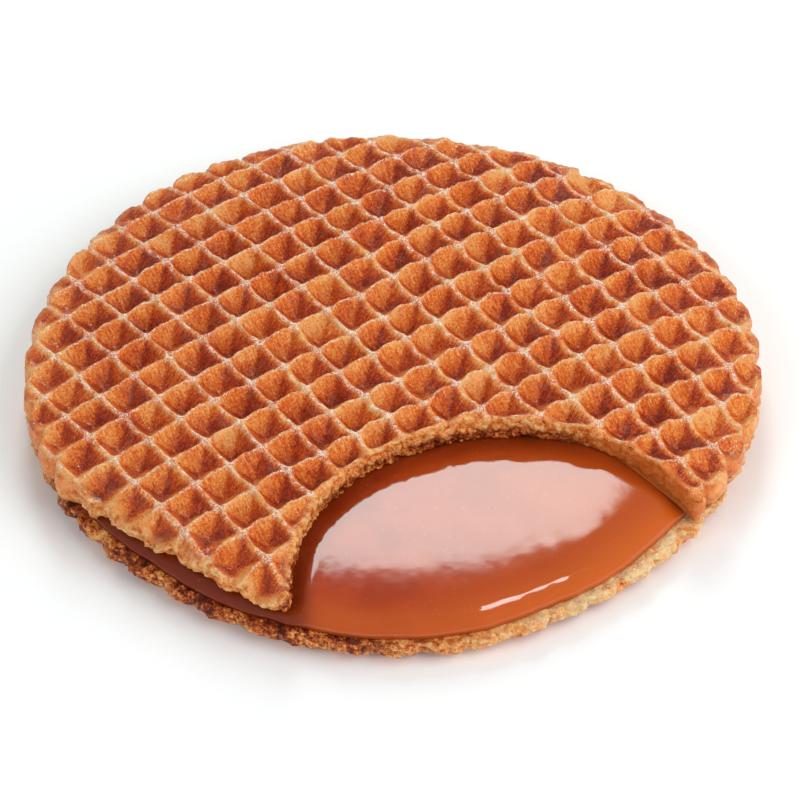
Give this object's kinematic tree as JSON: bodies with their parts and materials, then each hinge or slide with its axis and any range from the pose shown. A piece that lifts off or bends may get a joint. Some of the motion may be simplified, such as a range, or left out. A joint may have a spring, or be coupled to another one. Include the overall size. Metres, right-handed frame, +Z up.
{
  "type": "stroopwafel",
  "caption": "Round syrup waffle: two thin baked waffles with a caramel layer between them, and a bite out of the upper waffle.",
  "frame": {"origin": "centre of the bounding box at the underside, on the plane that the lower waffle's ridges rest on", "axes": "+Z up through the thickness; the bite is on the -Y side"},
  "size_m": [0.0798, 0.079, 0.0089],
  "materials": {
    "waffle_top": "baked golden-brown waffle with a satin, grainy crust",
    "caramel": "glossy caramel syrup",
    "waffle_bottom": "baked golden-brown waffle with a torn crumb at the rim"
  },
  "bodies": {
    "root": {"wafer_top": "waffle_top", "caramel": "caramel", "wafer_bottom": "waffle_bottom"}
  },
  "joints": []
}
